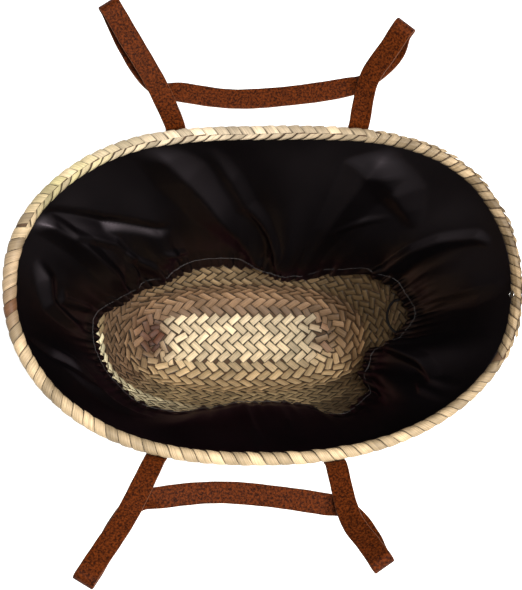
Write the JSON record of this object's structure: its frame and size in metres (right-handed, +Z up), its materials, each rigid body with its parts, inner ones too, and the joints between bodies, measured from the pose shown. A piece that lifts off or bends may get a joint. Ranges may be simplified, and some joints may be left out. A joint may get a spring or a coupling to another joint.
{
  "type": "straw basket bag",
  "caption": "Oval market basket of plaited straw with a bound rim, a gathered satin lining open at the base and flat leather strap handles",
  "frame": {"origin": "under the middle of the flat base, on the surface it stands on", "axes": "+Z up, +X along the length of the basket, +Y to the back handle"},
  "size_m": [0.4832, 0.5146, 0.3592],
  "materials": {
    "straw": "plaited palm leaf, dry and slightly waxy",
    "binding": "pale palm leaf",
    "satin": "black satin",
    "cord": "black twisted cord",
    "wire": "dull grey",
    "leather": "reddish brown grained leather"
  },
  "bodies": {
    "root": {"basket_body": "straw", "rim_binding": "binding", "lining": "satin", "drawstring_loop": "cord", "rim_ring": "wire", "handle_back": "leather", "handle_front": "leather"}
  },
  "joints": []
}
